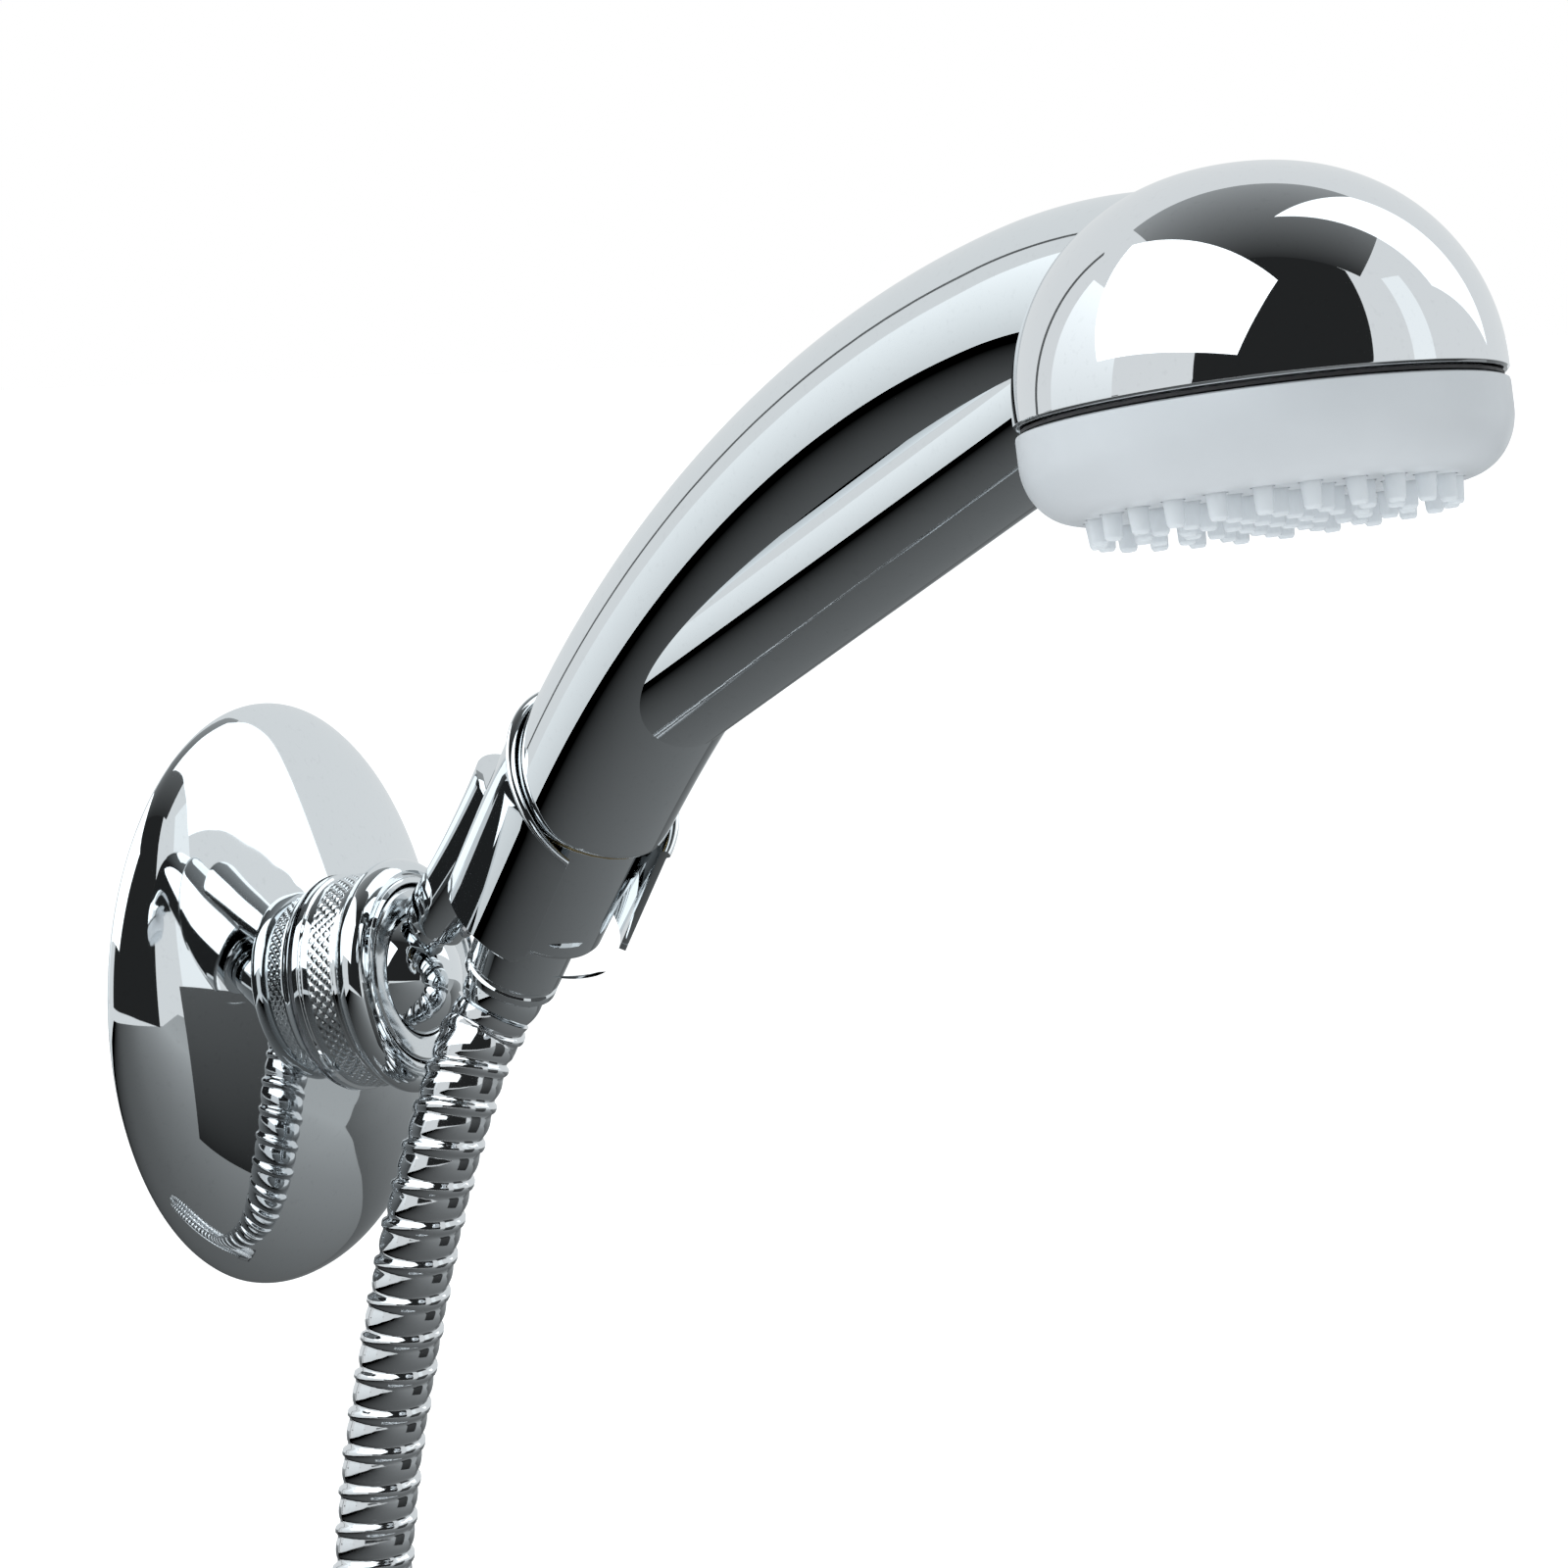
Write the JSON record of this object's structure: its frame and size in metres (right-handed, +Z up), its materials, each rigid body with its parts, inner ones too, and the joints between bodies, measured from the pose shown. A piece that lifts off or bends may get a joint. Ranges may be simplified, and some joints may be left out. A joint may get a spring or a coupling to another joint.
{
  "type": "handheld shower set",
  "caption": "Curved chrome hand shower with a domed head, resting in a ball-jointed slotted wall holder, with a flexible metal hose.",
  "frame": {"origin": "centre of the wall plate's back face, on the wall", "axes": "+Y into the wall, +Z up; the object stands out of the wall along -Y"},
  "size_m": [0.1885, 0.2676, 0.4471],
  "materials": {
    "chrome": "polished chrome plate",
    "plated_plastic": "chrome plate on ABS",
    "brass": "turned brass",
    "steel": "zinc-plated steel",
    "nylon": "moulded nylon",
    "grey_plastic": "satin light grey ABS",
    "silicone": "light grey silicone",
    "rubber": "black rubber",
    "hose_metal": "interlocked chrome-plated spiral over a soft inner tube"
  },
  "bodies": {
    "wall_unit": {"wall_plate": "steel", "wall_screw_1": "steel", "wall_screw_2": "steel", "wall_screw_3": "steel", "bell_flange": "chrome", "rear_seat": "nylon"},
    "collar": {"collar_nut": "chrome", "seat_retainer": "chrome"},
    "swivel": {"front_seat": "nylon"},
    "ball": {"ball_stud": "chrome"},
    "holder": {"holder": "chrome", "grub_screw": "steel"},
    "lift": {"hose_nipple": "brass", "hose_ferrule": "chrome"},
    "handset": {"cone_nut": "chrome", "hose_washer": "rubber", "inlet_insert": "brass", "flow_regulator": "grey_plastic", "handle_tube": "plated_plastic", "water_pipe": "grey_plastic", "head_dome": "plated_plastic", "head_gasket": "rubber", "distributor": "grey_plastic", "nozzle_mat": "silicone", "spray_face": "grey_plastic"},
    "hose_ball": {"hose_ball_end": "chrome"},
    "hose": {"hose": "hose_metal", "hose_coil": "hose_metal", "hose_tail": "hose_metal", "hose_tie": "rubber", "tap_ferrule": "chrome", "tap_nipple": "brass", "tap_washer": "rubber"},
    "tap_nut": {"tap_nut": "chrome"}
  },
  "joints": [
    {"name": "collar_turn", "type": "hinge", "parent": "wall_unit", "child": "collar", "pos_m": [0, -0.02603, 0.00297], "axis": [0, -0.9936, 0.1132], "range_deg": [0, 90]},
    {"name": "ball_swivel", "type": "hinge", "parent": "wall_unit", "child": "swivel", "pos_m": [0, -0.02603, 0.00297], "axis": [0, -0.9936, 0.1132], "range_deg": [-20, 20]},
    {"name": "ball_tilt", "type": "hinge", "parent": "swivel", "child": "ball", "pos_m": [0, -0.02603, 0.00297], "axis": [-0.9933, -0.013, -0.1144], "range_deg": [-30, 1]},
    {"name": "holder_twist", "type": "hinge", "parent": "ball", "child": "holder", "pos_m": [0, -0.02603, 0.00297], "axis": [-0.0744, -0.686, 0.7238], "range_deg": [-10, 10]},
    {"name": "lift_out", "type": "slide", "parent": "holder", "child": "lift", "axis": [-0.2236, -0.5618, 0.7965], "range_m": [0, 0.02]},
    {"name": "handset_turn", "type": "hinge", "parent": "lift", "child": "handset", "pos_m": [-0.0044, -0.0579, 0.0144], "axis": [-0.2236, -0.5618, 0.7965], "range_deg": [-50, 50]},
    {"name": "hose_hang", "type": "hinge", "parent": "lift", "child": "hose_ball", "pos_m": [-0.00055, -0.04824, 0.0007], "axis": [-0.9933, -0.013, -0.1144], "range_deg": [-2, 31]},
    {"name": "hose_sway", "type": "hinge", "parent": "hose_ball", "child": "hose", "pos_m": [-0.00055, -0.04824, 0.0007], "axis": [0, -0.9936, 0.1132], "range_deg": [-21, 21]},
    {"name": "tap_nut_turn", "type": "hinge", "parent": "hose", "child": "tap_nut", "pos_m": [-0.095, -0.048, -0.2688], "axis": [-0.0622, 0, -0.9981], "continuous": true}
  ],
  "couplings": [
    {"joint": "hose_hang", "follows": "ball_tilt", "ratio": -1},
    {"joint": "hose_sway", "follows": "ball_swivel", "ratio": -1}
  ]
}
